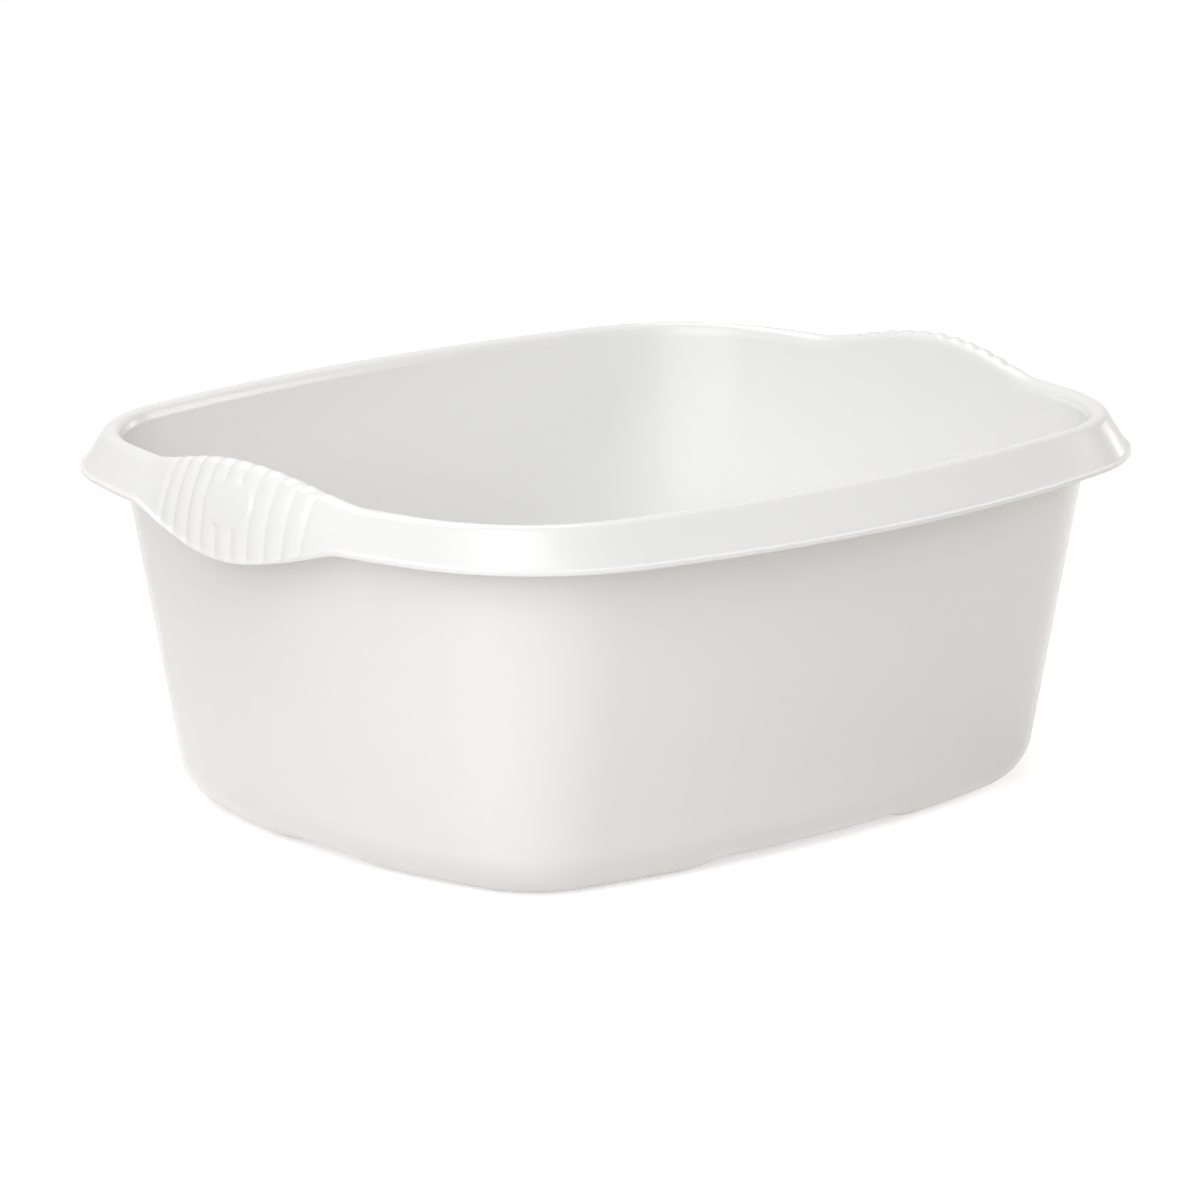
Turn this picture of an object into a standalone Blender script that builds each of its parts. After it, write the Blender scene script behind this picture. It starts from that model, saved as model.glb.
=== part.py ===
"""A rectangular washing-up bowl, in metres, +Z up, standing on its four feet around the origin.

The real bowl is one moulding: a plastic sheet of even thickness that runs from the floor up the walls,
over the crest of the rim and down its sloping flank to a small turned-out lip. At each short side the rim
swells into a ribbed grip, and at each corner the floor is pressed down into a foot. Here the same sheet is
parted at its natural lines into the tub, four feet, two rims and two grips, a hair's breadth apart.

Every piece is laid on one skin: the face of the sheet that looks up or into the bowl. Rows of points follow
the bowl's bowed outline at a given place of its section, and the wall thickness is added behind the skin.
"""

import math

import bmesh
import bpy
from mathutils import Vector
from mathutils.geometry import intersect_sphere_sphere_2d

MM = 0.001

# The sheet
WALL = 1.8 * MM  # thickness of the moulding everywhere
GAP = 0.3 * MM  # between two neighbouring pieces

# Crest: the top line of the rim, as half sizes, the radii of its bowed sides and of its corners
HEIGHT = 150.0 * MM
HALF_LENGTH = 180.0 * MM
HALF_WIDTH = 147.9 * MM
LONG_BOW = 606.0 * MM
SHORT_BOW = 359.0 * MM
CORNER = 67.6 * MM
CREST_RADIUS = 4.5 * MM  # of the skin where it rolls over the crest
BAND_RADIUS = 3.7 * MM  # of the crest's inner half along the plain rim, above a sloping band
CREASE_DROP = 6.0 * MM  # from the crest down to the crease between that band and the straight wall

# Lip: the lower outer edge of the rim, set out from the crest
SHORT_OVERHANG = 13.6 * MM
LONG_OVERHANG = 17.1 * MM
LIP_LONG_BOW = 508.0 * MM
LIP_SHORT_BOW = 317.5 * MM
LIP_CORNER = 82.5 * MM
RIM_DROP = 16.1 * MM
LIP_REACH = 1.3 * MM  # width of the lip that turns out from the flank
LIP_FILLET = 1.0 * MM  # height of the fillet between flank and lip
FILLET_LEAN = 0.5  # outward run of the fillet's start for its height
GRIP_FILLET_LEAN = 0.3  # the same in a grip's middle, where the flank is steeper

# Base: the outline of the wall's outer face where the round floor edge begins, set in from the crest
SHORT_TAPER = 22.2 * MM
LONG_TAPER = 20.3 * MM
BASE_LONG_BOW = 499.0 * MM
BASE_SHORT_BOW = 279.0 * MM
BASE_CORNER = 49.5 * MM
FLOOR_ROUND = 23.3 * MM  # outer radius between floor and wall

# Feet: the floor is pressed down at each corner and stands clear of the table between them
FOOT_HEIGHT = 2.5 * MM
FOOT_WIDTH = 24.0 * MM  # of the flat strip that the bowl stands on
FOOT_SLOPE = 5.0 * MM  # run of the slope on the strip's inner side
FOOT_MARGIN = 3.0 * MM  # of flat floor round the slope, up to where foot and tub part
LONG_ARCH = 43.0 * MM  # half length of the raised stretch in a long side
LONG_RAMP = 17.0 * MM
SHORT_ARCH = 9.0 * MM  # half length of the raised stretch in a short side
SHORT_RAMP = 21.0 * MM
FOOT_EDGE_ANGLE = math.radians(50)  # below the horizontal, where foot and tub part on the round floor edge
TIGHTEST = 6.0 * MM  # corner radius left where an outline is set far in

# Grips: the rim swells up, out and down in the middle of each short side
GRIP_HALF = 60.0 * MM
GRIP_RISE = 8.8 * MM  # of the crest above the plain rim
GRIP_DIP = 11.2 * MM  # of the lower edge below the plain lip
GRIP_BULGE = 1.6 * MM  # of the knuckle beyond a straight flank
BAND_FADE = 0.3  # share of a grip's growth over which the sloping band inside the rim dies out
RIB_PITCH = 9.1 * MM
RIB_DEPTH = 1.0 * MM
RIB_COUNT = 11
RIB_END = 2.0 * MM  # plain band between the ribs and the lower edge
BADGE_HALF_WIDTH = 11.0 * MM  # the bare oval in the middle of the ribs
BADGE_HALF_HEIGHT = 8.5 * MM

# How finely the sheet is divided
CORNER_STEPS = 6
SIDE_STEPS = 3
RAMP_STEPS = 2
RIB_STEPS = 4
FLANK_STEPS = 6
LOW_ROW = math.radians(70)  # below the horizontal, on the round floor edge
HIGH_ROW = math.radians(30)
SHARP_ANGLE = math.radians(35)  # past which neighbouring faces are shaded with an edge between them
GUARD = 1.0 * MM  # from a parting line to the next row of points, so that the sheet parts squarely


class Outline:
    """Four bowed sides joined by round corners, seen from above, as half sizes and radii."""

    def __init__(self, length, width, long_bow, short_bow, corner):
        self.sizes = (length, width, long_bow, short_bow, corner)
        self.long_centre = Vector((0, width - long_bow))
        self.short_centre = Vector((length - short_bow, 0))
        centres = intersect_sphere_sphere_2d(
            self.long_centre, long_bow - corner, self.short_centre, short_bow - corner)
        self.corner_centre = max(centres, key=lambda centre: centre.x + centre.y)
        self.long_bow, self.short_bow, self.corner = long_bow, short_bow, corner
        to_short = self.corner_centre - self.short_centre
        to_long = self.corner_centre - self.long_centre
        self.first_angle = math.atan2(to_short.y, to_short.x)
        self.last_angle = math.atan2(to_long.y, to_long.x)
        self.short_end = short_bow * math.sin(self.first_angle)
        self.long_end = long_bow * math.cos(self.last_angle)

    def inset(self, by):
        length, width, long_bow, short_bow, corner = self.sizes
        return Outline(length - by, width - by, long_bow - by, short_bow - by, max(corner - by, TIGHTEST))

    def at(self, spot):
        """The point of the outline at a spot, which names a side, a mark along it and a share of the rest."""
        side, mark, share = spot.side, spot.mark, spot.share
        if side == "short":
            y = mark + share * (self.short_end - mark)
            point = Vector((self.short_centre.x + math.sqrt(self.short_bow ** 2 - y ** 2), y))
        elif side == "long":
            x = mark + share * (self.long_end - mark)
            point = Vector((x, self.long_centre.y + math.sqrt(self.long_bow ** 2 - x ** 2)))
        else:
            angle = self.first_angle + share * (self.last_angle - self.first_angle)
            point = self.corner_centre + self.corner * Vector((math.cos(angle), math.sin(angle)))
        return Vector((point.x * spot.sign_x, point.y * spot.sign_y))


class Spot:
    """A place along every outline: so far along a side or corner of the quarter that the signs give."""

    def __init__(self, side, mark=0.0, share=0.0, sign_x=1, sign_y=1):
        self.side, self.mark, self.share = side, mark, share
        self.sign_x, self.sign_y = sign_x, sign_y

    def turned(self, sign_x, sign_y):
        return Spot(self.side, self.mark, self.share, sign_x, sign_y)


CREST = Outline(HALF_LENGTH, HALF_WIDTH, LONG_BOW, SHORT_BOW, CORNER)
LIP = Outline(HALF_LENGTH + SHORT_OVERHANG, HALF_WIDTH + LONG_OVERHANG, LIP_LONG_BOW, LIP_SHORT_BOW,
              LIP_CORNER)
BASE = Outline(HALF_LENGTH - SHORT_TAPER, HALF_WIDTH - LONG_TAPER, BASE_LONG_BOW, BASE_SHORT_BOW,
               BASE_CORNER)
FLAT = BASE.inset(FLOOR_ROUND)  # where the round edge runs out into the flat floor
SKIN_ROUND = FLOOR_ROUND - WALL
DRAFT = math.atan2(SHORT_TAPER - CREST_RADIUS + WALL, HEIGHT - FLOOR_ROUND)  # lean of the walls


def smooth(value, start, end):
    """0 before start, 1 after end, and an even S between them."""
    t = min(max((value - start) / (end - start), 0.0), 1.0)
    return t * t * (3 - 2 * t)


def standing(spot, outline):
    """1 where the floor's edge is pressed down into a foot, 0 where it arches clear of the table."""
    point = outline.at(spot)
    if spot.side == "short":
        return smooth(abs(point.y), SHORT_ARCH, SHORT_ARCH + SHORT_RAMP)
    if spot.side == "long":
        return smooth(abs(point.x), LONG_ARCH, LONG_ARCH + LONG_RAMP)
    return 1.0


def floor_row(inset):
    """The flat floor, so far in from the round edge."""
    outline = FLAT.inset(inset)
    pressed = 1 - smooth(inset, FOOT_WIDTH, FOOT_WIDTH + FOOT_SLOPE)

    def point(spot):
        lift = FOOT_HEIGHT * (1 - pressed * standing(spot, outline))
        return outline.at(spot).to_3d() + Vector((0, 0, WALL + lift))

    return point


def round_row(angle):
    """The round edge between floor and wall, at this angle below the horizontal."""
    outline = FLAT.inset(-SKIN_ROUND * math.cos(angle))
    fade = ((math.sin(angle) - math.sin(DRAFT)) / (1 - math.sin(DRAFT))) ** 2

    def point(spot):
        lift = FOOT_HEIGHT * fade * (1 - standing(spot, outline))
        return outline.at(spot).to_3d() + Vector((0, 0, FLOOR_ROUND - SKIN_ROUND * math.sin(angle) + lift))

    return point


WALL_FOOT = FLAT.inset(-SKIN_ROUND * math.cos(DRAFT))
WALL_FOOT_Z = FLOOR_ROUND - SKIN_ROUND * math.sin(DRAFT)
WALL_HEAD = CREST.inset(CREST_RADIUS * math.cos(DRAFT))
WALL_HEAD_Z = HEIGHT - CREST_RADIUS * (1 - math.sin(DRAFT))
CREASE_Z = HEIGHT - CREASE_DROP
RIM_PARTING_Z = CREASE_Z - GUARD  # where tub and rim part


def wall_point(spot, z):
    """The straight wall's skin at this height. Above the plain rim it carries on into a grip."""
    low, high = WALL_FOOT.at(spot), WALL_HEAD.at(spot)
    across = low.lerp(high, (z - WALL_FOOT_Z) / (WALL_HEAD_Z - WALL_FOOT_Z))
    return Vector((across.x, across.y, z))


def wall_row(z):
    return lambda spot: wall_point(spot, z)


def swell(spot):
    """How far the rim has grown into a grip: 0 along the plain rim, 1 in the middle of a short side."""
    if spot.side != "short" or spot.mark >= GRIP_HALF:
        return 0.0
    return (1 - (spot.mark / GRIP_HALF) ** 2) ** 1.5


def relief(spot, down_flank, flank_length):
    """How deep the skin lies between two ribs here: 0 on a rib's back and on the oval badge."""
    if abs(spot.mark) > RIB_PITCH * RIB_COUNT / 2 or spot.side != "short":
        return 0.0
    wave = (1 - math.cos(2 * math.pi * (spot.mark / RIB_PITCH))) / 2
    off_centre = (down_flank - 0.5) * flank_length
    if (spot.mark / BADGE_HALF_WIDTH) ** 2 + (off_centre / BADGE_HALF_HEIGHT) ** 2 < 1:
        return 0.0
    return RIB_DEPTH * wave


def tangent_angle(to_point, radius):
    """Slope of the line that leaves a circle about the origin and meets the point, y pointing down."""
    return math.atan2(to_point.y, to_point.x) + math.asin(radius / to_point.length)


def bezier(start, control, end, t):
    return start * (1 - t) ** 2 + control * 2 * t * (1 - t) + end * t ** 2


def rim_section(spot, flank_steps):
    """The rim's skin at a spot: past the crease, over the crest, down the flank and out to the lip's edge.

    Its shape is worked out in the upright plane through crest and lip, as distances out from the crest
    line and down from it.
    """
    grown = swell(spot)
    crest_z = HEIGHT + GRIP_RISE * grown
    crest = CREST.at(spot)
    outward = LIP.at(spot) - crest
    overhang = outward.length
    outward.normalize()
    lean = GRIP_RISE * grown * math.tan(DRAFT)
    drop = RIM_DROP + (GRIP_RISE + GRIP_DIP) * grown

    # The band leaves the crest's inner arc along the tangent that meets the crease
    band_radius = BAND_RADIUS + (CREST_RADIUS - BAND_RADIUS) * smooth(grown, 0.0, BAND_FADE)
    crease = wall_point(spot, CREASE_Z)
    crease_inset = (crease.to_2d() - crest).length
    to_crease = Vector((crease_inset + lean, crest_z - CREASE_Z - band_radius))
    band_slope = tangent_angle(to_crease, band_radius)

    # The lip turns out level along the plain rim and hangs straight down in a grip's middle
    edge = Vector((overhang, drop - WALL * (1 - grown)))
    corner = edge - LIP_REACH * Vector((1 - grown, grown))
    fillet_lean = FILLET_LEAN + (GRIP_FILLET_LEAN - FILLET_LEAN) * grown
    fillet_start = corner - LIP_FILLET * Vector((fillet_lean, 1.0))

    # The flank leaves the crest's outer arc along the tangent that meets the top of the lip's fillet
    arc_centre = Vector((lean, CREST_RADIUS))
    flank_slope = tangent_angle(fillet_start - arc_centre, CREST_RADIUS)
    flank_start = arc_centre + CREST_RADIUS * Vector((math.sin(flank_slope), -math.cos(flank_slope)))
    along = fillet_start - flank_start
    knuckle = flank_start + along / 2 + GRIP_BULGE * grown * Vector((along.y, -along.x)).normalized()

    def place(section_point, sunk, normal):
        offset, down = section_point
        across = crest + outward * (offset - sunk * normal.x)
        return Vector((across.x, across.y, crest_z - down - sunk * normal.y))

    points = [wall_point(spot, RIM_PARTING_Z + GAP / 2), crease]
    for angle in (-band_slope, -band_slope / 2, 0.0, flank_slope / 2):
        radius = band_radius if angle < 0 else CREST_RADIUS
        normal = Vector((math.sin(angle), math.cos(angle)))
        on_arc = Vector((lean, radius)) + radius * Vector((normal.x, -normal.y))
        sunk = relief(spot, 0.0, along.length) * math.cos(min(angle, 0.0)) ** 2
        points.append(place(on_arc, sunk, normal))
    for step in range(flank_steps + 1):
        t = step / flank_steps
        tangent = ((knuckle - flank_start) * (1 - t) + (fillet_start - knuckle) * t).normalized()
        sunk = relief(spot, t, along.length) * smooth((1 - t) * along.length, 0.0, RIB_END)
        on_flank = bezier(flank_start, knuckle, fillet_start, t)
        points.append(place(on_flank, sunk, Vector((tangent.y, tangent.x))))
    for t in (0.5, 1.0):
        points.append(place(bezier(fillet_start, corner, edge, t), 0.0, Vector((0.0, 1.0))))
    return points


def quarter_of_tub():
    """Spots from the middle of a short side round one corner to the middle of a long side."""
    spots = [Spot("short", 0.0), Spot("short", SHORT_ARCH - FOOT_MARGIN - GAP / 2)]
    spots += foot_spots()[1:-1]
    spots += [Spot("long", LONG_ARCH - FOOT_MARGIN - GAP / 2), Spot("long", LONG_ARCH / 2), Spot("long", 0.0)]
    return spots


def foot_spots():
    """Spots from one end of a corner's foot to the other."""
    spots = [Spot("short", SHORT_ARCH - FOOT_MARGIN + GAP / 2)]
    spots += [Spot("short", SHORT_ARCH + SHORT_RAMP * i / RAMP_STEPS) for i in range(RAMP_STEPS + 1)]
    spots += [Spot("short", SHORT_ARCH + SHORT_RAMP, i / SIDE_STEPS) for i in range(1, SIDE_STEPS)]
    spots += [Spot("corner", share=i / CORNER_STEPS) for i in range(CORNER_STEPS + 1)]
    spots += [Spot("long", LONG_ARCH + LONG_RAMP, i / SIDE_STEPS) for i in reversed(range(1, SIDE_STEPS))]
    spots += [Spot("long", LONG_ARCH + LONG_RAMP * i / RAMP_STEPS) for i in reversed(range(RAMP_STEPS + 1))]
    spots += [Spot("long", LONG_ARCH - FOOT_MARGIN + GAP / 2)]
    return spots


def in_quarter(spots, sign_x, sign_y):
    """The same spots in another quarter, still counter-clockwise seen from above."""
    turned = [spot.turned(sign_x, sign_y) for spot in spots]
    return turned if sign_x * sign_y > 0 else turned[::-1]


def white_plastic(name):
    material = bpy.data.materials.new(name)
    material.use_nodes = True
    shader = material.node_tree.nodes["Principled BSDF"]
    shader.inputs["Base Color"].default_value = (0.86, 0.855, 0.84, 1)
    shader.inputs["Roughness"].default_value = 0.28
    shader.inputs["Metallic"].default_value = 0.0
    return material


def skin_grid(spots, rows):
    """A grid with a column at every spot and a row at every place of the section, on the skin."""
    bm = bmesh.new()
    bmesh.ops.create_grid(bm, x_segments=len(spots) - 1, y_segments=len(rows) - 1, size=1)
    bm.verts.ensure_lookup_table()
    for j, row in enumerate(rows):
        for i, spot in enumerate(spots):
            bm.verts[j * len(spots) + i].co = row(spot)
    # The spots run counter-clockwise and the rows outwards, which leaves the grid facing down and out
    bmesh.ops.reverse_faces(bm, faces=bm.faces)
    return bm


def moulded(name, bm):
    """Makes the open skin a piece of the moulding: its thickness goes behind the skin."""
    mesh = bpy.data.meshes.new(name)
    bm.to_mesh(mesh)
    bm.free()
    mesh.shade_smooth()
    mesh.set_sharp_from_angle(angle=SHARP_ANGLE)
    mesh.materials.append(white_plastic(name + "_plastic"))
    piece = bpy.data.objects.new(name, mesh)
    bpy.context.scene.collection.objects.link(piece)
    wall = piece.modifiers.new("wall thickness", "SOLIDIFY")
    wall.thickness = WALL
    wall.offset = -1
    wall.use_even_offset = True
    wall.use_quality_normals = True
    return piece


def make_tub():
    """Floor and walls in one sheet, with an opening in each corner of the floor for its foot."""
    part_angle = FOOT_EDGE_ANGLE - GAP / 2 / SKIN_ROUND
    rows = [
        floor_row(FOOT_WIDTH + FOOT_SLOPE + FOOT_MARGIN + GAP / 2),
        floor_row(0.0),
        round_row(LOW_ROW),
        round_row(part_angle),
        round_row(part_angle - GUARD / SKIN_ROUND),
        round_row(HIGH_ROW),
        round_row(DRAFT),
        wall_row(RIM_PARTING_Z - GAP / 2),
    ]
    opening_row = 3
    quarter = quarter_of_tub()
    first_opening, last_opening = 1, len(quarter) - 3
    spots = []
    opening = []
    for sign_x, sign_y in ((1, 1), (-1, 1), (-1, -1), (1, -1)):
        turned = in_quarter(quarter, sign_x, sign_y)
        start = len(spots)
        low, high = first_opening, last_opening
        if sign_x * sign_y < 0:
            low, high = len(quarter) - 1 - last_opening, len(quarter) - 1 - first_opening
        opening += range(start + low, start + high)
        spots += turned[:-1]
    spots.append(quarter[0])
    bm = skin_grid(spots, rows)
    bm.faces.ensure_lookup_table()
    columns = len(spots) - 1
    gone = [bm.faces[row * columns + column] for row in range(opening_row) for column in opening]
    bmesh.ops.remove_doubles(bm, verts=bm.verts, dist=GAP / 100)
    panel_rim = [edge for edge in bm.edges if edge.is_boundary and edge.verts[0].co.z < HEIGHT / 2]
    bmesh.ops.contextual_create(bm, geom=panel_rim)
    bmesh.ops.delete(bm, geom=gone, context="FACES")
    return moulded("tub", bm)


def make_foot(name, sign_x, sign_y):
    """One corner of the floor, pressed down into an L-shaped foot with its share of the round edge."""
    part_angle = FOOT_EDGE_ANGLE + GAP / 2 / SKIN_ROUND
    rows = [
        floor_row(FOOT_WIDTH + FOOT_SLOPE + FOOT_MARGIN - GAP / 2),
        floor_row(FOOT_WIDTH + FOOT_SLOPE),
        floor_row(FOOT_WIDTH),
        floor_row(0.0),
        round_row(LOW_ROW),
        round_row(part_angle + GUARD / SKIN_ROUND),
        round_row(part_angle),
    ]
    return moulded(name, skin_grid(in_quarter(foot_spots(), sign_x, sign_y), rows))


def rim_rows(flank_steps):
    """One row for each point of the rim's section."""
    count = len(rim_section(Spot("long"), flank_steps))
    return [lambda spot, k=k: rim_section(spot, flank_steps)[k] for k in range(count)]


def make_rim(name, sign_y):
    """The plain rim from one grip round two corners to the other grip."""
    start = GRIP_HALF + GAP / 2
    quarter = [Spot("short", start, i / SIDE_STEPS) for i in range(SIDE_STEPS)]
    quarter += [Spot("corner", share=i / CORNER_STEPS) for i in range(CORNER_STEPS + 1)]
    quarter += [Spot("long", share=i / (2 * SIDE_STEPS)) for i in reversed(range(2 * SIDE_STEPS))]
    spots = in_quarter(quarter, sign_y, sign_y)
    spots = spots[:-1] + in_quarter(quarter, -sign_y, sign_y)
    return moulded(name, skin_grid(spots, rim_rows(1)))


def make_grip(name, sign_x):
    """The ribbed swelling of the rim in the middle of a short side."""
    ribbed = RIB_PITCH * RIB_COUNT / 2
    count = RIB_COUNT * RIB_STEPS
    marks = [-ribbed + 2 * ribbed * i / count for i in range(count + 1)]
    end = GRIP_HALF - GAP / 2
    outer = [ribbed + (end - ribbed) * i / SIDE_STEPS for i in range(1, SIDE_STEPS + 1)]
    marks = [-y for y in reversed(outer)] + marks + outer
    spots = [Spot("short", mark * sign_x, sign_x=sign_x) for mark in marks]
    return moulded(name, skin_grid(spots, rim_rows(FLANK_STEPS)))


def main():
    for thing in list(bpy.data.objects):
        bpy.data.objects.remove(thing)
    make_tub()
    make_foot("foot_back_right", 1, 1)
    make_foot("foot_back_left", -1, 1)
    make_foot("foot_front_left", -1, -1)
    make_foot("foot_front_right", 1, -1)
    make_rim("rim_back", 1)
    make_rim("rim_front", -1)
    make_grip("grip_right", 1)
    make_grip("grip_left", -1)


main()
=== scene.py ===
"""The looks of a rectangular washing-up bowl in glossy white plastic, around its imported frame.

The bowl is one moulding. Every piece here is cut out of the same sheet, worked out once as a skin with a
column of points at each spot round the bowl, so that neighbouring pieces meet without a line between them.
"""

import math

import bmesh
import bpy
from bpy.props import FloatProperty, FloatVectorProperty, IntProperty, PointerProperty
from bpy.types import Operator, Panel, PropertyGroup
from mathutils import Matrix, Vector
from mathutils.geometry import intersect_sphere_sphere_2d


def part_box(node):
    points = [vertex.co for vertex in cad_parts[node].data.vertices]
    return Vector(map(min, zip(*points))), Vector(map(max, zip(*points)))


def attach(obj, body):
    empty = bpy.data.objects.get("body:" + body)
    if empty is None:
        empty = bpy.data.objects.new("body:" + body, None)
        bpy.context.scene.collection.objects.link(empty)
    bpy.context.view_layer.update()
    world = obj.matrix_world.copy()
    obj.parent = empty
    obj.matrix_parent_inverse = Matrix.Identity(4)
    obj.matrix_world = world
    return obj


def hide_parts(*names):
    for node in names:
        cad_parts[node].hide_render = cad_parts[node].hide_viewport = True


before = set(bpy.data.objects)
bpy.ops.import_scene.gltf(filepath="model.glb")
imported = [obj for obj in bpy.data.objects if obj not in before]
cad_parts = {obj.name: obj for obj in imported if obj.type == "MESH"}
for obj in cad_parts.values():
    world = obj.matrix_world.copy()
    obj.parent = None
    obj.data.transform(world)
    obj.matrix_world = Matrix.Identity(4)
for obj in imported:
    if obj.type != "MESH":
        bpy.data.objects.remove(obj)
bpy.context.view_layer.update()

bl_info = {
    "name": "Washing-up bowl",
    "version": (1, 0, 0),
    "blender": (4, 5, 0),
    "location": "3D View > Sidebar > Bowl",
    "description": "Builds a rectangular washing-up bowl and a plain studio around it",
    "category": "Add Mesh",
}

MM = 0.001
PLAIN_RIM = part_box("rim_front")
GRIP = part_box("grip_right")
PLAIN_HEIGHT = PLAIN_RIM[1].z / MM
LIP_HALF_WIDTH = -PLAIN_RIM[0].y / MM
GRIP_HEIGHT = GRIP[1].z / MM
CREST_HALF_WIDTH = 147.9


def length(name, millimetres, description):
    """A size that can be changed in the panel."""
    return FloatProperty(name=name, description=description, default=millimetres * MM, min=0.0,
                         precision=4, unit="LENGTH")


def colour(name, value, description):
    """A colour that can be changed in the panel."""
    return FloatVectorProperty(name=name, description=description, default=value, min=0.0, max=1.0,
                               size=3, subtype="COLOR")


class BowlOutlines(PropertyGroup):
    """The three outlines seen from above: crest, lip and base."""

    half_length: length("Half length", 180.0, "From the centre to the crest in the middle of a short side")
    half_width: length("Half width", CREST_HALF_WIDTH, "From the centre to the crest of a long side")
    long_bow: length("Long bow", 606.0, "Radius of the crest's long sides")
    short_bow: length("Short bow", 359.0, "Radius of the crest's short sides")
    corner: length("Corner", 67.6, "Radius of the crest's corners")
    short_overhang: length("Short overhang", 13.6, "How far the lip stands out from a short side's crest")
    long_overhang: length("Long overhang", LIP_HALF_WIDTH - CREST_HALF_WIDTH, "The same at a long side")
    lip_long_bow: length("Lip long bow", 508.0, "Radius of the lip's long sides")
    lip_short_bow: length("Lip short bow", 317.5, "Radius of the lip's short sides")
    lip_corner: length("Lip corner", 82.5, "Radius of the lip's corners")
    short_taper: length("Short taper", 22.2, "How far a short wall's foot is set in from its crest")
    long_taper: length("Long taper", 20.3, "The same at a long side")
    base_long_bow: length("Base long bow", 499.0, "Radius of the long sides at the wall's foot")
    base_short_bow: length("Base short bow", 279.0, "Radius of the short sides at the wall's foot")
    base_corner: length("Base corner", 49.5, "Radius of the corners at the wall's foot")


class BowlSection(PropertyGroup):
    """The sheet's section, from the floor over the crest to the lip."""

    height: length("Height", PLAIN_HEIGHT, "Of the plain rim above the table")
    wall: length("Wall", 1.8, "Thickness of the sheet")
    crest_radius: length("Crest radius", 4.5, "Of the skin where it rolls over the crest")
    band_radius: length("Band radius", 4.1, "Of the crest's inner half, above the sloping band")
    crease_drop: length("Crease drop", 4.3, "From the crest down to the crease above the straight wall")
    crease_width: length("Crease width", 1.2, "Over which the crease turns")
    rim_skirt: length("Rim skirt", 2.7, "Of straight wall below the crease that goes with the rim")
    rim_drop: length("Rim drop", 16.1, "From the crest down to the lip's lower edge")
    lip_reach: length("Lip reach", 1.3, "How far the lip turns out from the flank")
    lip_fillet: length("Lip fillet", 1.0, "Between the flank and the lip")
    lip_rounding: length("Lip rounding", 0.4, "Of the sheet's free edge")
    floor_round: length("Floor round", 23.3, "Outer radius between floor and wall")


class BowlFeet(PropertyGroup):
    """The corners of the floor, pressed down so that the bowl stands clear between them."""

    height: length("Foot height", 2.5, "How far the floor is pressed down")
    width: length("Foot width", 24.0, "Of the flat strip that the bowl stands on")
    slope: length("Foot slope", 5.0, "Run of the slope on the strip's inner side")
    margin: length("Foot margin", 3.0, "Of flat floor that goes with the foot")
    long_arch: length("Long arch", 43.0, "Half length of the raised stretch in a long side")
    long_ramp: length("Long ramp", 17.0, "Run of its ends")
    short_arch: length("Short arch", 9.0, "Half length of the raised stretch in a short side")
    short_ramp: length("Short ramp", 21.0, "Run of its ends")
    edge_angle: FloatProperty(
        name="Foot edge angle", description="Below the horizontal, where a foot ends on the round floor edge",
        default=math.radians(50), min=0.0, max=math.pi / 2, subtype="ANGLE")


class BowlGrips(PropertyGroup):
    """The ribbed swellings of the rim."""

    half: length("Half length", 60.0, "From a grip's middle to its end")
    rise: length("Rise", GRIP_HEIGHT - PLAIN_HEIGHT, "Of the crest above the plain rim")
    dip: length("Dip", 11.2, "Of the lower edge below the plain lip")
    bulge: length("Bulge", 2.2, "Of the flank beyond a straight one")
    rib_pitch: length("Rib pitch", 9.1, "From one rib to the next")
    rib_depth: length("Rib depth", 0.9, "From a rib's back down to the valley beside it")
    rib_end: length("Rib end", 2.2, "Over which a rib dies out at the lip")
    rib_fade: length("Rib fade", 10.0, "Over which the ribs grow fainter towards a grip's end")
    rib_count: IntProperty(name="Ribs", description="Ribs on each grip", default=11, min=1, max=25)
    badge_half_width: length("Oval half width", 12.5, "Of the bare oval in the middle of the ribs")
    badge_half_height: length("Oval half height", 8.5, "Measured down the flank")
    badge_fade: length("Oval fade", 1.2, "Over which a rib dies out towards the oval")
    badge_place: FloatProperty(
        name="Oval place", description="Of its middle, as a share of the way down the flank", default=0.42,
        min=0, max=1, subtype="FACTOR")


class BowlFinish(PropertyGroup):
    """The plastic."""

    plastic: colour("Plastic", (0.912, 0.903, 0.895), "Colour of the moulding")
    roughness: FloatProperty(name="Roughness", description="Of the polished skin", default=0.12, min=0, max=1)
    gloss_drift: FloatProperty(
        name="Gloss drift", description="How far the roughness wanders over the skin", default=0.05,
        min=0, max=1)
    waviness: length("Waviness", 0.02, "Height of the slow waves that the moulding leaves in the skin")
    wave_size: length("Wave size", 30.0, "Distance between those waves")


class BowlStudio(PropertyGroup):
    """Floor, lamps and camera."""

    floor: colour("Floor", (0.92, 0.895, 0.865), "Colour of the floor")
    floor_glow: FloatProperty(
        name="Floor glow", description="How much brighter the floor is seen than it is lit", default=0.6,
        min=0)
    target: FloatVectorProperty(
        name="Target", description="Point that the camera looks at", default=(-0.0046, 0.0, 0.07726),
        size=3, subtype="XYZ", unit="LENGTH")
    azimuth: FloatProperty(
        name="Azimuth", description="Of the camera, from the front towards the right",
        default=math.radians(-42.07), subtype="ANGLE")
    elevation: FloatProperty(
        name="Elevation", description="Of the camera above the horizon", default=math.radians(13.63),
        subtype="ANGLE")
    distance: length("Distance", 2456.1, "From the target to the camera")
    lens: FloatProperty(name="Lens", description="Focal length in millimetres", default=188.8, min=1)


def smooth(value, start, end):
    """0 before start, 1 after end, and an even S between them."""
    t = min(max((value - start) / (end - start), 0.0), 1.0)
    return t * t * (3 - 2 * t)


def steps(start, end, count):
    """Values from start to end in so many steps, without the first."""
    return [start + (end - start) * i / count for i in range(1, count + 1)]


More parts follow.
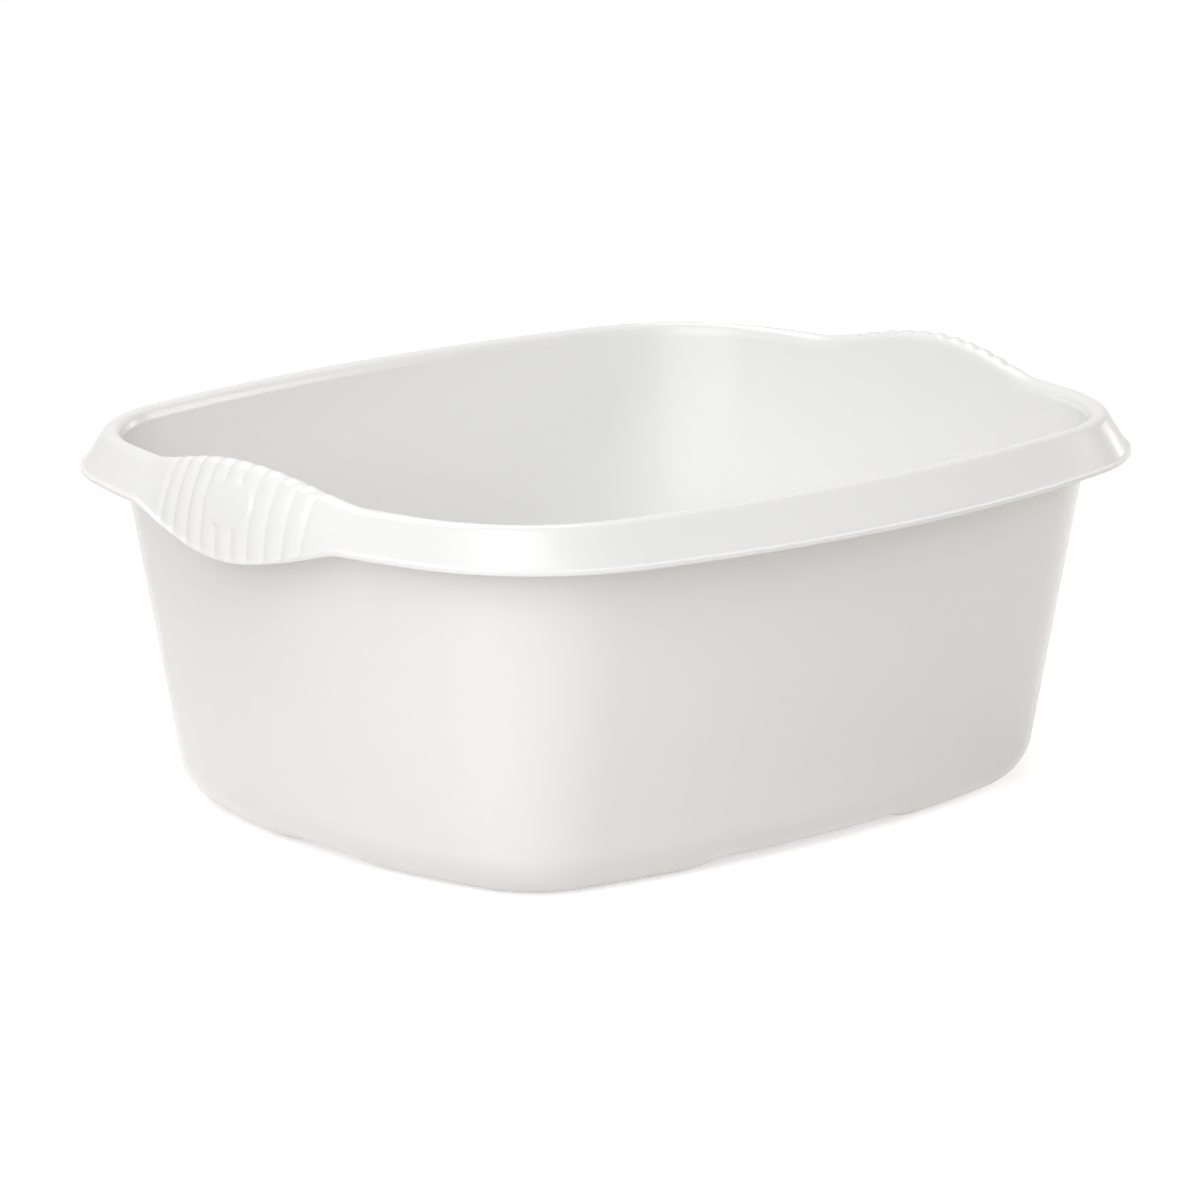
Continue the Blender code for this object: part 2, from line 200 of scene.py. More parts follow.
class Outline:
    """Four bowed sides joined by round corners, seen from above, as half sizes and radii."""

    TIGHTEST = 6.0 * MM  # corner radius left where an outline is set far in

    def __init__(self, half_length, half_width, long_bow, short_bow, corner):
        self.sizes = (half_length, half_width, long_bow, short_bow, corner)
        self.long_bow, self.short_bow, self.corner = long_bow, short_bow, corner
        self.long_centre = Vector((0, half_width - long_bow))
        self.short_centre = Vector((half_length - short_bow, 0))
        centres = intersect_sphere_sphere_2d(
            self.long_centre, long_bow - corner, self.short_centre, short_bow - corner)
        self.corner_centre = max(centres, key=lambda centre: centre.x + centre.y)
        to_short = self.corner_centre - self.short_centre
        to_long = self.corner_centre - self.long_centre
        self.first_angle = math.atan2(to_short.y, to_short.x)
        self.last_angle = math.atan2(to_long.y, to_long.x)
        self.short_end = short_bow * math.sin(self.first_angle)
        self.long_end = long_bow * math.cos(self.last_angle)

    def inset(self, by):
        """The same outline set in all round, or set out where the value is negative."""
        half_length, half_width, long_bow, short_bow, corner = self.sizes
        return Outline(half_length - by, half_width - by, long_bow - by, short_bow - by,
                       max(corner - by, self.TIGHTEST))

    def at(self, spot):
        """The outline's point at a spot."""
        if spot.side == "short":
            y = spot.mark + spot.share * (self.short_end - spot.mark)
            point = Vector((self.short_centre.x + math.sqrt(self.short_bow ** 2 - y ** 2), y))
        elif spot.side == "long":
            x = spot.mark + spot.share * (self.long_end - spot.mark)
            point = Vector((x, self.long_centre.y + math.sqrt(self.long_bow ** 2 - x ** 2)))
        else:
            angle = self.first_angle + spot.share * (self.last_angle - self.first_angle)
            point = self.corner_centre + self.corner * Vector((math.cos(angle), math.sin(angle)))
        return Vector((point.x * spot.sign_x, point.y * spot.sign_y))


class Spot:
    """A place along every outline: a side, a mark along it and a share of what is left, in one quarter."""

    def __init__(self, side, mark=0.0, share=0.0, sign_x=1, sign_y=1):
        self.side, self.mark, self.share = side, mark, share
        self.sign_x, self.sign_y = sign_x, sign_y

    def turned(self, sign_x, sign_y):
        """The same spot in another quarter."""
        return Spot(self.side, self.mark, self.share, sign_x, sign_y)


class Sheet:
    """The moulding's skin, worked out from the sizes in the panel."""

    RIB_STEPS = 16
    GRIP_END_STEPS = 8
    SIDE_STEPS = 10
    CORNER_STEPS = 28
    LONG_STEPS = 44
    FLOOR_STEPS = 6
    SLOPE_STEPS = 6
    ROUND_STEPS = 9
    WALL_STEPS = 12
    CREST_STEPS = 9
    BAND_STEPS = 6
    FLANK_STEPS = 36
    FILLET_STEPS = 5
    FILLET_LEAN = 0.5  # how much the flank slopes where it meets the lip's fillet, along the plain rim
    GRIP_FILLET_LEAN = 0.3  # and in a grip's middle
    BAND_FADE = 0.3  # share of a grip's growth over which the sloping band turns into wall
    RIB_START = -1.0  # angle from the crest's top, on its inner half, where the ribs begin
    SWELL_POWER = 1.5  # how softly a grip grows out of the plain rim

    def __init__(self, scene):
        o, self.section = scene.bowl_outlines, scene.bowl_section
        s, self.feet, self.grips = self.section, scene.bowl_feet, scene.bowl_grips
        self.crest = Outline(o.half_length, o.half_width, o.long_bow, o.short_bow, o.corner)
        self.lip = Outline(o.half_length + o.short_overhang, o.half_width + o.long_overhang,
                           o.lip_long_bow, o.lip_short_bow, o.lip_corner)
        base = Outline(o.half_length - o.short_taper, o.half_width - o.long_taper,
                       o.base_long_bow, o.base_short_bow, o.base_corner)
        self.flat = base.inset(s.floor_round)
        self.skin_round = s.floor_round - s.wall
        self.draft = math.atan2(o.short_taper - s.crest_radius + s.wall, s.height - s.floor_round)
        self.wall_foot = self.flat.inset(-self.skin_round * math.cos(self.draft))
        self.wall_foot_z = s.floor_round - self.skin_round * math.sin(self.draft)
        self.wall_head = self.crest.inset(s.crest_radius * math.cos(self.draft))
        self.wall_head_z = s.height - s.crest_radius * (1 - math.sin(self.draft))
        self.crease_z = s.height - s.crease_drop
        self.lip_length = s.lip_fillet + s.lip_reach
        self.floor_insets = self.inset_steps()
        self.floor_outlines = [self.flat.inset(inset) for inset in self.floor_insets]
        self.round_angles = self.angle_steps()
        self.round_outlines = [self.flat.inset(-self.skin_round * math.cos(a)) for a in self.round_angles]
        self.foot_rows = len(self.floor_insets) - 1 + self.ROUND_STEPS
        self.tub_rows = self.foot_rows + self.ROUND_STEPS + self.WALL_STEPS
        self.spots = self.all_spots()

    def inset_steps(self):
        """How far in from the round edge the floor's rows lie, from the middle outwards."""
        feet = self.feet
        inner = feet.width + feet.slope
        return ([inner + feet.margin, inner] + steps(inner, feet.width, self.SLOPE_STEPS)
                + steps(feet.width, 0.0, self.FLOOR_STEPS))

    def angle_steps(self):
        """Angles below the horizontal of the rows on the round edge, from the floor upwards."""
        edge = self.feet.edge_angle
        return steps(math.pi / 2, edge, self.ROUND_STEPS) + steps(edge, self.draft, self.ROUND_STEPS)

    def all_spots(self):
        """Spots once round the bowl, counter-clockwise seen from above."""
        grips = self.grips
        ribbed = grips.rib_pitch * grips.rib_count / 2
        half_ribs = self.RIB_STEPS * grips.rib_count // 2
        quarter = [Spot("short", mark) for mark in [0.0] + steps(0.0, ribbed, half_ribs)]
        quarter += [Spot("short", mark) for mark in steps(ribbed, grips.half, self.GRIP_END_STEPS)]
        quarter += [Spot("short", grips.half, share) for share in steps(0, 1, self.SIDE_STEPS)[:-1]]
        quarter += [Spot("corner", share=share) for share in [0.0] + steps(0, 1, self.CORNER_STEPS)]
        quarter += [Spot("long", share=1 - share) for share in steps(0, 1, self.LONG_STEPS)]
        spots = []
        for sign_x, sign_y in ((1, 1), (-1, 1), (-1, -1), (1, -1)):
            turned = [spot.turned(sign_x, sign_y) for spot in quarter]
            if sign_x * sign_y < 0:
                turned.reverse()
            spots += turned[:-1]
        return spots

    def standing(self, spot, outline):
        """1 where the floor's edge is pressed down into a foot, 0 where it arches clear of the table."""
        feet = self.feet
        point = outline.at(spot)
        if spot.side == "short":
            return smooth(abs(point.y), feet.short_arch, feet.short_arch + feet.short_ramp)
        if spot.side == "long":
            return smooth(abs(point.x), feet.long_arch, feet.long_arch + feet.long_ramp)
        return 1.0

    def swell(self, spot):
        """How far the rim has grown into a grip: 0 along the plain rim, 1 in a grip's middle."""
        if spot.side != "short" or spot.share > 0 or spot.mark >= self.grips.half:
            return 0.0
        return (1 - (spot.mark / self.grips.half) ** 2) ** self.SWELL_POWER

    def relief(self, spot, down, flank_length):
        """How deep the skin lies between two ribs: 0 on a rib's back and on the oval."""
        grips = self.grips
        if spot.side != "short" or spot.share > 0:
            return 0.0
        off_centre = down - flank_length * grips.badge_place
        reach = math.hypot(spot.mark / grips.badge_half_width, off_centre / grips.badge_half_height)
        clear = smooth((reach - 1) * grips.badge_half_height, 0.0, grips.badge_fade)
        round_back = 1 - abs(math.cos(math.pi * spot.mark / grips.rib_pitch))
        to_last = grips.rib_pitch * grips.rib_count / 2 - spot.mark
        to_edge = flank_length + self.lip_length - down
        ended = smooth(to_last, 0.0, grips.rib_fade) * smooth(to_edge, 0.0, grips.rib_end)
        return grips.rib_depth * round_back * clear * ended

    def wall_point(self, spot, z):
        """The straight wall's skin at this height. Above the plain rim it carries on into a grip."""
        low, high = self.wall_foot.at(spot), self.wall_head.at(spot)
        across = low.lerp(high, (z - self.wall_foot_z) / (self.wall_head_z - self.wall_foot_z))
        return Vector((across.x, across.y, z))

    def tub_points(self, spot):
        """The floor, the round edge and the wall, up to where the rim begins just below the crease."""
        s, feet = self.section, self.feet
        points = []
        for inset, outline in zip(self.floor_insets, self.floor_outlines):
            pressed = 1 - smooth(inset, feet.width, feet.width + feet.slope)
            lift = feet.height * (1 - pressed * self.standing(spot, outline))
            points.append(outline.at(spot).to_3d() + Vector((0, 0, s.wall + lift)))
        for angle, outline in zip(self.round_angles, self.round_outlines):
            fade = ((math.sin(angle) - math.sin(self.draft)) / (1 - math.sin(self.draft))) ** 2
            lift = feet.height * fade * (1 - self.standing(spot, outline))
            z = s.floor_round - self.skin_round * math.sin(angle) + lift
            points.append(outline.at(spot).to_3d() + Vector((0, 0, z)))
        for z in steps(self.wall_foot_z, self.crease_z - s.rim_skirt, self.WALL_STEPS):
            points.append(self.wall_point(spot, z))
        return points

    def rim_points(self, spot):
        """The crease, the crest, the flank and the lip's edge, each point with its depth of relief."""
        s, grips = self.section, self.grips
        grown = self.swell(spot)
        crest_z = s.height + grips.rise * grown
        crest = self.crest.at(spot)
        outward = self.lip.at(spot) - crest
        overhang = outward.length
        outward.normalize()
        lean = grips.rise * grown * math.tan(self.draft)
        drop = s.rim_drop + (grips.rise + grips.dip) * grown
        # The lip turns out level along the plain rim and hangs straight down in a grip's middle
        edge = Vector((overhang, drop - s.wall * (1 - grown)))
        corner = edge - s.lip_reach * Vector((1 - grown, grown))
        fillet_lean = self.FILLET_LEAN + (self.GRIP_FILLET_LEAN - self.FILLET_LEAN) * grown
        fillet_start = corner - s.lip_fillet * Vector((fillet_lean, 1.0))
        points = [(self.wall_point(spot, self.crease_z - s.crease_width / 2), 0.0),
                  (self.wall_point(spot, self.crease_z), 0.0)]

        def place(section_point, depth=0.0):
            across = crest + outward * section_point.x
            points.append((Vector((across.x, across.y, crest_z - section_point.y)), depth))

        def on_arc(radius, angle):
            return Vector((lean + radius * math.sin(angle), radius - radius * math.cos(angle)))

        # The crest's inner half comes down to a sloping band, which in a grip is the wall carried on
        band_radius = s.band_radius + (s.crest_radius - s.band_radius) * smooth(grown, 0.0, self.BAND_FADE)
        crease_inset = (self.wall_point(spot, self.crease_z).to_2d() - crest).length
        crease = Vector((-crease_inset, s.crease_drop + grips.rise * grown))
        band_slope = tangent_angle(Vector((lean + crease_inset, crease.y - band_radius)), band_radius)
        band_top = on_arc(band_radius, -band_slope)
        past_crease = s.crease_width / 2 / (band_top - crease).length
        for share in [past_crease] + steps(past_crease, 1.0, self.BAND_STEPS)[:-1]:
            place(crease.lerp(band_top, share))
        for angle in [-band_slope] + steps(-band_slope, 0.0, self.CREST_STEPS):
            begun = smooth(angle, self.RIB_START, 0.0)
            place(on_arc(band_radius, angle), self.relief(spot, 0.0, drop) * begun)

        # The flank leaves the crest along the tangent that meets the top of the lip's fillet
        slope = tangent_angle(fillet_start - Vector((lean, s.crest_radius)), s.crest_radius)
        straight = (fillet_start - on_arc(s.crest_radius, slope)).length
        # A grip's flank leaves the crest sooner and bends down about a knuckle half way along. The knuckle
        # stands out twice as far as the curve's middle, which stands out by the bulge
        slope -= math.asin(2 * grips.bulge * grown / (straight / 2))
        flank_start = on_arc(s.crest_radius, slope)
        flank_length = (fillet_start - flank_start).length
        knuckle = flank_start + flank_length / 2 * Vector((math.cos(slope), math.sin(slope)))
        for angle in steps(0.0, slope, self.CREST_STEPS)[:-1]:
            place(on_arc(s.crest_radius, angle), self.relief(spot, 0.0, flank_length))
        for t in [0.0] + steps(0.0, 1.0, self.FLANK_STEPS):
            down = flank_length * t
            place(bezier(flank_start, knuckle, fillet_start, t), self.relief(spot, down, flank_length))
        for t in steps(0.0, 1.0, self.FILLET_STEPS):
            down = flank_length + self.lip_length * t
            place(bezier(fillet_start, corner, edge, t), self.relief(spot, down, flank_length))
        return points

    def node_of(self, row, first, second):
        """The CAD node that a face stands for, by its row and the two neighbouring spots it lies between."""
        side_x = "right" if first.sign_x > 0 else "left"
        side_y = "back" if first.sign_y > 0 else "front"
        on_short = first.side == second.side == "short" and first.share == second.share == 0
        on_long = first.side == second.side == "long"
        if row >= self.tub_rows:
            return f"grip_{side_x}" if on_short else f"rim_{side_y}"
        short_end = self.feet.short_arch - self.feet.margin
        long_end = self.feet.long_arch - self.feet.margin
        in_short_arch = on_short and min(first.mark, second.mark) < short_end
        in_long_arch = on_long and min(abs(self.flat.at(first).x), abs(self.flat.at(second).x)) < long_end
        if row < self.foot_rows and not in_short_arch and not in_long_arch:
            return f"foot_{side_y}_{side_x}"
        return "tub"


SKIN = "bowl_skin"
NODES = sorted(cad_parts)
EDGE, SURFACE = 0, 1  # what a face of a piece is: cut or free edge of the sheet, or one of its two surfaces
MERGE_DISTANCE = MM / 1000
LIP_SEGMENTS = 3  # faces across the rounding of the lip's free edge
SHARP = math.radians(40)
SENSOR_WIDTH = 36.0
FLOOR_SPAN = 2.8  # short enough to end where it is still lit to white
SIGHT = 4 * FLOOR_SPAN  # how far the camera sees
GLOSS_PATCHES = {"Scale": 18.0, "Detail": 3.0}  # the noise that the gloss follows
TONE_STREAKS = {"Scale": 7.0, "Detail": 2.0}  # the noise that the tone follows
DARKEST_TONE = 0.985
PLASTIC_IOR = 1.49


def tangent_angle(to_point, radius):
    """Slope of the line that leaves a circle about the origin and meets the point, y pointing down."""
    return math.atan2(to_point.y, to_point.x) + math.asin(radius / to_point.length)


def bezier(start, control, end, t):
    """Point at t along the curve that leaves the start and meets the end in line with the control point."""
    return start * (1 - t) ** 2 + control * 2 * t * (1 - t) + end * t ** 2


def make_skin(scene):
    """The whole skin as a mesh, with each vertex's place on the sheet's back and its shading."""
    sheet = Sheet(scene)
    columns = []
    for spot in sheet.spots:
        columns.append([(point, 0.0) for point in sheet.tub_points(spot)] + sheet.rim_points(spot))
    columns.append(columns[0])
    rows = len(columns[0]) - 1
    width = len(columns)
    bm = bmesh.new()
    node = bm.faces.layers.int.new("node")
    bm.faces.layers.int.new("side")
    on_lip = bm.verts.layers.int.new("on_lip")
    relief = bm.verts.layers.float.new("relief")
    back = bm.verts.layers.float_vector.new("back")
    shade = bm.verts.layers.float_vector.new("shade")
    back_shade = bm.verts.layers.float_vector.new("back_shade")
    bmesh.ops.create_grid(bm, x_segments=width - 1, y_segments=rows, size=1)
    bm.verts.ensure_lookup_table()
    for i, column in enumerate(columns):
        for j, (point, depth) in enumerate(column):
            vert = bm.verts[j * width + i]
            vert.co = point
            vert[relief] = depth
    bm.faces.ensure_lookup_table()
    spots = sheet.spots + sheet.spots[:1]
    for face in bm.faces:
        row, i = divmod(face.index, width - 1)
        face[node] = NODES.index(sheet.node_of(row, spots[i], spots[i + 1]))
    # The spots run counter-clockwise and the rows outwards, which leaves the grid facing down and out
    bmesh.ops.reverse_faces(bm, faces=bm.faces)
    bmesh.ops.remove_doubles(bm, verts=bm.verts, dist=MERGE_DISTANCE)
    # Of the two open edges, the lip's and the one round the middle of the floor, the lower one is filled
    free = [edge for edge in bm.edges if edge.is_boundary]
    panel_rim = [edge for edge in free if edge.verts[0].co.z < sheet.section.height / 2]
    for face in bmesh.ops.contextual_create(bm, geom=panel_rim)["faces"]:
        face[node] = NODES.index("tub")
        if face.normal.z < 0:
            face.normal_flip()
    bm.normal_update()
    for vert in bm.verts:
        vert[back] = vert.co - vert.normal * sheet.section.wall
        vert[back_shade] = -vert.normal
        vert.co = vert.co - vert.normal * vert[relief]
    bm.normal_update()
    for vert in bm.verts:
        if vert.is_boundary:
            vert[on_lip] = 1
            vert[back_shade] = (0, 0, 0)
        else:
            vert[shade] = vert.normal
    mesh = bpy.data.meshes.new(SKIN)
    bm.to_mesh(mesh)
    bm.free()


def make_piece(scene, name):
    """The part of the sheet that stands for one CAD node: its skin, its back and the edges between them."""
    bm = bmesh.new()
    bm.from_mesh(bpy.data.meshes[SKIN])
    node = bm.faces.layers.int["node"]
    side = bm.faces.layers.int["side"]
    on_lip = bm.verts.layers.int["on_lip"]
    back = bm.verts.layers.float_vector["back"]
    shade = bm.verts.layers.float_vector["shade"]
    back_shade = bm.verts.layers.float_vector["back_shade"]
    bmesh.ops.delete(bm, geom=[face for face in bm.faces if face[node] != NODES.index(name)], context="FACES")
    skin = list(bm.faces)
    for face in skin:
        face[side] = SURFACE
    made = bmesh.ops.extrude_face_region(bm, geom=skin, use_keep_orig=True)["geom"]
    behind = {vert for vert in made if isinstance(vert, bmesh.types.BMVert)}
    for vert in behind:
        vert.co = vert[back]
        vert[shade] = vert[back_shade]
    for face in bm.faces:
        if len(behind.intersection(face.verts)) not in (0, len(face.verts)):
            face[side] = EDGE
    bmesh.ops.recalc_face_normals(bm, faces=bm.faces)
    free_edges = [edge for edge in bm.edges if all(vert[on_lip] for vert in edge.verts)
                  and len(behind.intersection(edge.verts)) != 1]
    if free_edges:
        bmesh.ops.bevel(bm, geom=free_edges, offset=scene.bowl_section.lip_rounding, offset_type="OFFSET",
                        affect="EDGES", segments=LIP_SEGMENTS, profile=0.5, material=-1)
    shading = []
    for face in bm.faces:
        for vert in face.verts:
            shading.append(Vector(vert[shade]) if face[side] == SURFACE else Vector())
    mesh = bpy.data.meshes.new(f"bowl_{name}")
    bm.to_mesh(mesh)
    bm.free()
    for layer in ("node", "side", "on_lip", "relief", "back", "shade", "back_shade"):
        mesh.attributes.remove(mesh.attributes[layer])
    mesh.shade_smooth()
    mesh.set_sharp_from_angle(angle=SHARP)
    mesh.normals_split_custom_set(shading)
    mesh.materials.append(white_plastic(scene.bowl_finish))
    piece = bpy.data.objects.new(mesh.name, mesh)
    scene.collection.objects.link(piece)
    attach(piece, "root")
    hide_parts(name)
    return piece


def feed(tree, value, socket):
    """Link an output to the socket, or set the socket to a plain value."""
    if isinstance(value, bpy.types.NodeSocket):
        tree.links.new(value, socket)
    else:
        socket.default_value = value


def add_node(tree, kind, **inputs):
    """A shader node with some of its sockets set or linked."""
    made = tree.nodes.new(kind)
    for name, value in inputs.items():
        feed(tree, value, made.inputs[name.replace("_", " ")])
    return made


def math_node(tree, operation, first, second):
    """The result of one calculation with two values or outputs."""
    made = tree.nodes.new("ShaderNodeMath")
    made.operation = operation
    for socket, value in zip(made.inputs, (first, second)):
        feed(tree, value, socket)
    return made.outputs[0]


def moulded_skin():
    """The node group for a moulded skin: its gloss drifts, and slow waves lie in it."""
    name = "moulded_skin"
    if name in bpy.data.node_groups:
        return bpy.data.node_groups[name]
    group = bpy.data.node_groups.new(name, "ShaderNodeTree")
    group.interface.new_socket("Colour", in_out="INPUT", socket_type="NodeSocketColor")
    for socket in ("Roughness", "Gloss Drift", "Waviness", "Wave Size"):
        group.interface.new_socket(socket, in_out="INPUT", socket_type="NodeSocketFloat")
    group.interface.new_socket("Colour", in_out="OUTPUT", socket_type="NodeSocketColor")
    group.interface.new_socket("Roughness", in_out="OUTPUT", socket_type="NodeSocketFloat")
    group.interface.new_socket("Height", in_out="OUTPUT", socket_type="NodeSocketFloat")
    given = group.nodes.new("NodeGroupInput").outputs
    place = group.nodes.new("ShaderNodeTexCoord").outputs["Object"]
    wave_scale = math_node(group, "DIVIDE", 1.0, given["Wave Size"])
    waves = add_node(group, "ShaderNodeTexNoise", Vector=place, Scale=wave_scale, Detail=0.0)
    height = math_node(group, "MULTIPLY", waves.outputs["Fac"], given["Waviness"])
    patches = add_node(group, "ShaderNodeTexNoise", Vector=place, **GLOSS_PATCHES)
    centred = math_node(group, "SUBTRACT", patches.outputs["Fac"], 0.5)
    drift = math_node(group, "MULTIPLY", centred, given["Gloss Drift"])
    roughness = math_node(group, "ADD", given["Roughness"], drift)
    streaks = add_node(group, "ShaderNodeTexNoise", Vector=place, **TONE_STREAKS)
    tone = add_node(group, "ShaderNodeMapRange", Value=streaks.outputs["Fac"], To_Min=DARKEST_TONE)
    shaded = group.nodes.new("ShaderNodeVectorMath")
    shaded.operation = "SCALE"
    feed(group, given["Colour"], shaded.inputs[0])
    feed(group, tone.outputs["Result"], shaded.inputs["Scale"])
    result = group.nodes.new("NodeGroupOutput").inputs
    feed(group, shaded.outputs["Vector"], result["Colour"])
    feed(group, roughness, result["Roughness"])
    feed(group, height, result["Height"])
    return group


def white_plastic(finish):
    """Glossy white polypropylene."""
    name = "white_plastic"
    if name in bpy.data.materials:
        return bpy.data.materials[name]
    material = bpy.data.materials.new(name)
    material.use_nodes = True
    tree = material.node_tree
    skin = tree.nodes.new("ShaderNodeGroup")
    skin.node_tree = moulded_skin()
    skin.inputs["Colour"].default_value = (*finish.plastic, 1)
    skin.inputs["Roughness"].default_value = finish.roughness
    skin.inputs["Gloss Drift"].default_value = finish.gloss_drift
    skin.inputs["Waviness"].default_value = finish.waviness
    skin.inputs["Wave Size"].default_value = finish.wave_size
    bump = add_node(tree, "ShaderNodeBump", Height=skin.outputs["Height"], Distance=1.0)
    shader = tree.nodes["Principled BSDF"]
    feed(tree, skin.outputs["Colour"], shader.inputs["Base Color"])
    feed(tree, skin.outputs["Roughness"], shader.inputs["Roughness"])
    feed(tree, bump.outputs["Normal"], shader.inputs["Normal"])
    shader.inputs["IOR"].default_value = PLASTIC_IOR
    return material


def aimed(place, target):
    """A turn that points a lamp or a camera from its place at the target."""
    return (target - place).to_track_quat("-Z", "Y").to_euler()


def around(azimuth, elevation, distance):
    """A place so far from the origin. Azimuth 0 is the front and 90 degrees the right."""
    flat = distance * math.cos(elevation)
    return Vector((flat * math.sin(azimuth), -flat * math.cos(azimuth), distance * math.sin(elevation)))


# Each softbox's azimuth and elevation in degrees, width and height in metres, watts and colour
SOFTBOXES = {
    "front_left": (-56, 28, 2.8, 1.4, 41.5, (0.94, 0.97, 1.0)),
    "high_left": (-55, 55, 1.4, 1.3, 17.0, (1.0, 0.98, 0.97)),
    "high_back": (178, 65, 2.4, 1.0, 36.0, (1.0, 0.98, 0.98)),
    "right": (62, 20, 1.4, 0.9, 15.5, (1.0, 0.97, 0.95)),
    "right_strip": (99, 8, 0.25, 0.3, 2.0, (1.0, 1.0, 1.0)),
}
SOFTBOX_DISTANCE = 2.6


def make_softbox(scene, name, azimuth, elevation, width, height, watts, tint):
    """A rectangular lamp on a sphere round the bowl, aimed at the bowl's middle."""
    lamp = bpy.data.lights.new(name, "AREA")
    lamp.shape = "RECTANGLE"
    lamp.size = width
    lamp.size_y = height
    lamp.energy = watts
    lamp.color = tint
    holder = bpy.data.objects.new(name, lamp)
    holder.location = around(math.radians(azimuth), math.radians(elevation), SOFTBOX_DISTANCE)
    holder.rotation_euler = aimed(holder.location, Vector((0, 0, scene.bowl_section.height / 2)))
    scene.collection.objects.link(holder)


def make_camera(scene):
    studio = scene.bowl_studio
    view = bpy.data.cameras.new("camera")
    view.lens = studio.lens
    view.sensor_width = SENSOR_WIDTH
    view.clip_end = SIGHT
    camera = bpy.data.objects.new("camera", view)
    target = Vector(studio.target)
    camera.location = target + around(studio.azimuth, studio.elevation, studio.distance)
    camera.rotation_euler = aimed(camera.location, target)
    scene.collection.objects.link(camera)
    scene.camera = camera


def where_seen(tree, strength):
    """This strength where the camera looks, straight on or in a reflection, and 0 where light falls."""
    path = tree.nodes.new("ShaderNodeLightPath").outputs
    seen = math_node(tree, "MAXIMUM", path["Is Camera Ray"], path["Is Glossy Ray"])
    seen = math_node(tree, "MAXIMUM", seen, path["Is Transmission Ray"])
    return math_node(tree, "MULTIPLY", seen, strength)


def floor_material(studio):
    """A pale diffuse floor, which is seen washed out towards white, with the bowl's shadow left."""
    material = bpy.data.materials.new("floor")
    material.use_nodes = True
    tree = material.node_tree
    tree.nodes.clear()
    pale = add_node(tree, "ShaderNodeBsdfDiffuse", Color=(*studio.floor, 1))
    glow = add_node(tree, "ShaderNodeEmission", Strength=where_seen(tree, studio.floor_glow))
    both = tree.nodes.new("ShaderNodeAddShader")
    feed(tree, pale.outputs[0], both.inputs[0])
    feed(tree, glow.outputs[0], both.inputs[1])
    out = tree.nodes.new("ShaderNodeOutputMaterial")
    feed(tree, both.outputs[0], out.inputs["Surface"])
    return material


def make_floor(scene):
    bm = bmesh.new()
    bmesh.ops.create_grid(bm, x_segments=1, y_segments=1, size=FLOOR_SPAN / 2)
    mesh = bpy.data.meshes.new("floor")
    bm.to_mesh(mesh)
    bm.free()
    mesh.materials.append(floor_material(scene.bowl_studio))
    floor = bpy.data.objects.new("floor", mesh)
    scene.collection.objects.link(floor)


def make_world(scene):
    """Plain white beyond the floor, which gives no light."""
    world = bpy.data.worlds.new("studio")
    world.use_nodes = True
    tree = world.node_tree
    tree.nodes.clear()
    white = add_node(tree, "ShaderNodeBackground", Color=(1, 1, 1, 1), Strength=where_seen(tree, 1.0))
    out = tree.nodes.new("ShaderNodeOutputWorld")
    feed(tree, white.outputs[0], out.inputs["Surface"])
    scene.world = world


class BOWL_OT_skin(Operator):
    """Work out the skin of the whole sheet from the sizes"""

    bl_idname = "bowl.skin"
    bl_label = "Work out the sheet"

    def execute(self, context):
        make_skin(context.scene)
        return {"FINISHED"}


class BOWL_OT_tub(Operator):
    """Make the floor and the walls, up to the crease inside the rim"""

    bl_idname = "bowl.tub"
    bl_label = "Tub"

    def execute(self, context):
        make_piece(context.scene, "tub")
        return {"FINISHED"}


class BOWL_OT_feet(Operator):
    """Make the four pressed-down corners of the floor"""

    bl_idname = "bowl.feet"
    bl_label = "Feet"

    def execute(self, context):
        for name in ("foot_back_right", "foot_back_left", "foot_front_left", "foot_front_right"):
            make_piece(context.scene, name)
        return {"FINISHED"}


class BOWL_OT_rims(Operator):
    """Make the plain rim along the back and along the front"""

    bl_idname = "bowl.rims"
    bl_label = "Rims"

    def execute(self, context):
        for name in ("rim_back", "rim_front"):
            make_piece(context.scene, name)
        return {"FINISHED"}


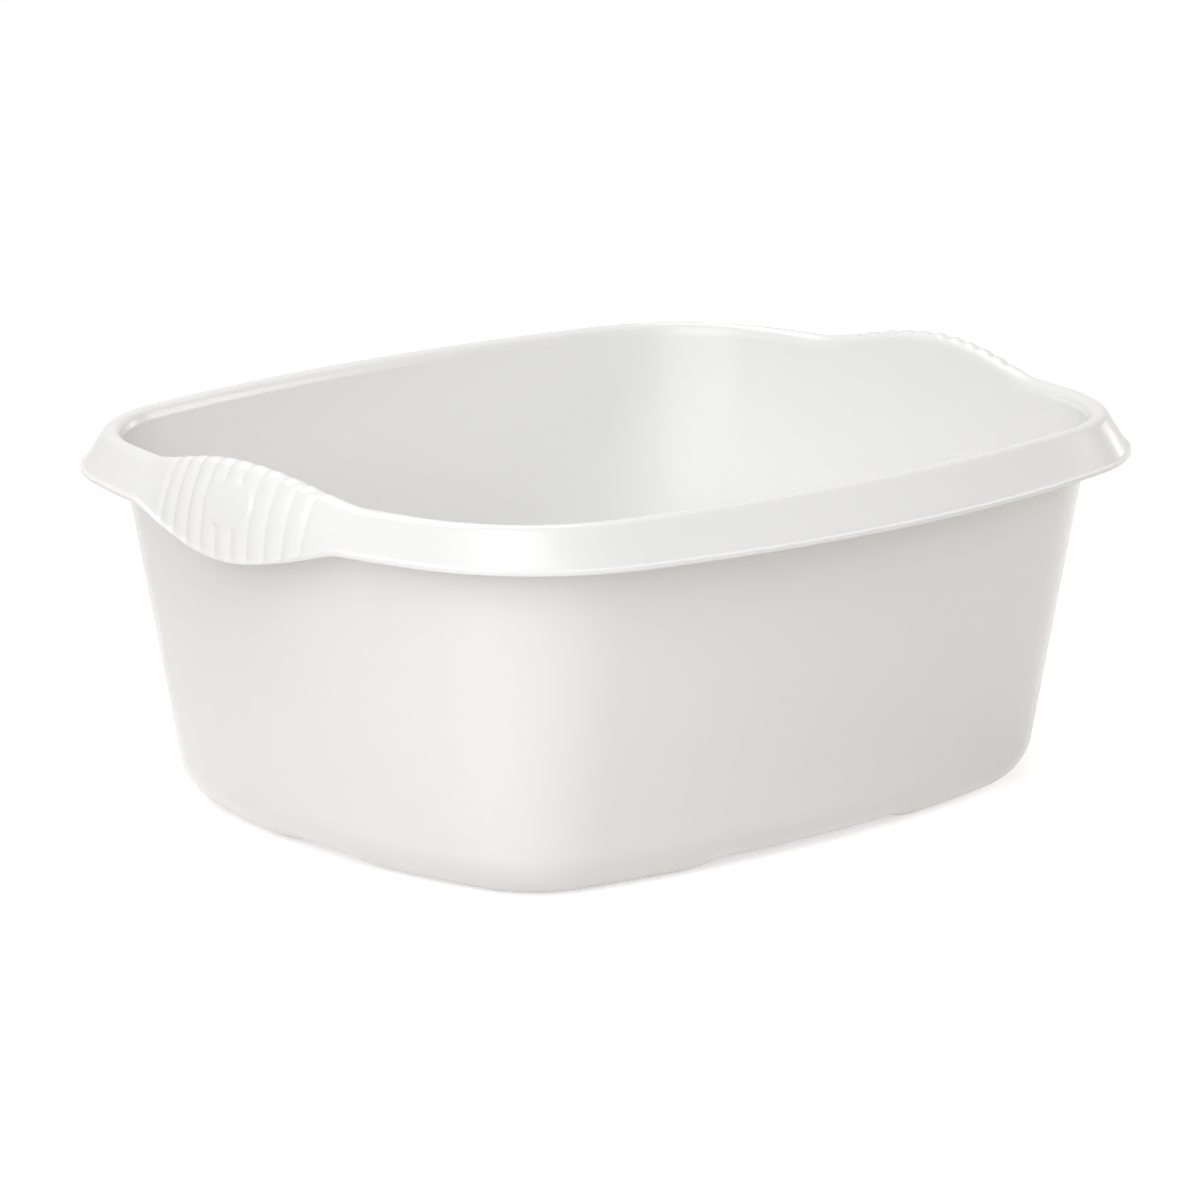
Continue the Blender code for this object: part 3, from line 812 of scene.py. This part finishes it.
class BOWL_OT_grips(Operator):
    """Make the ribbed grip at each end"""

    bl_idname = "bowl.grips"
    bl_label = "Grips"

    def execute(self, context):
        for name in ("grip_right", "grip_left"):
            make_piece(context.scene, name)
        return {"FINISHED"}


class BOWL_OT_studio(Operator):
    """Make the pale floor, the soft lamps and the camera"""

    bl_idname = "bowl.studio"
    bl_label = "Studio"

    def execute(self, context):
        scene = context.scene
        make_floor(scene)
        make_world(scene)
        for name, softbox in SOFTBOXES.items():
            make_softbox(scene, name, *softbox)
        make_camera(scene)
        scene.view_settings.view_transform = "Standard"
        return {"FINISHED"}


class BOWL_PT_panel(Panel):
    """The bowl's sizes, finish and studio, with a button for each group of pieces"""

    bl_idname = "BOWL_PT_panel"
    bl_label = "Washing-up bowl"
    bl_space_type = "VIEW_3D"
    bl_region_type = "UI"
    bl_category = "Bowl"

    def draw(self, context):
        layout = self.layout
        for group, owner in GROUPS.items():
            box = layout.box()
            for name in owner.__annotations__:
                box.prop(getattr(context.scene, group), name)
        for operator in OPERATORS:
            layout.operator(operator.bl_idname)


GROUPS = {
    "bowl_outlines": BowlOutlines,
    "bowl_section": BowlSection,
    "bowl_feet": BowlFeet,
    "bowl_grips": BowlGrips,
    "bowl_finish": BowlFinish,
    "bowl_studio": BowlStudio,
}
OPERATORS = (BOWL_OT_skin, BOWL_OT_tub, BOWL_OT_feet, BOWL_OT_rims, BOWL_OT_grips, BOWL_OT_studio)


def register():
    for cls in (*GROUPS.values(), *OPERATORS, BOWL_PT_panel):
        bpy.utils.register_class(cls)
    for group, owner in GROUPS.items():
        setattr(bpy.types.Scene, group, PointerProperty(type=owner))


def unregister():
    for group in GROUPS:
        delattr(bpy.types.Scene, group)
    for cls in (BOWL_PT_panel, *reversed(OPERATORS), *reversed(GROUPS.values())):
        bpy.utils.unregister_class(cls)


def main():
    register()
    bpy.ops.bowl.skin()
    bpy.ops.bowl.tub()
    bpy.ops.bowl.feet()
    bpy.ops.bowl.rims()
    bpy.ops.bowl.grips()
    bpy.ops.bowl.studio()
    bpy.data.meshes.remove(bpy.data.meshes[SKIN])


if __name__ == "__main__":
    main()
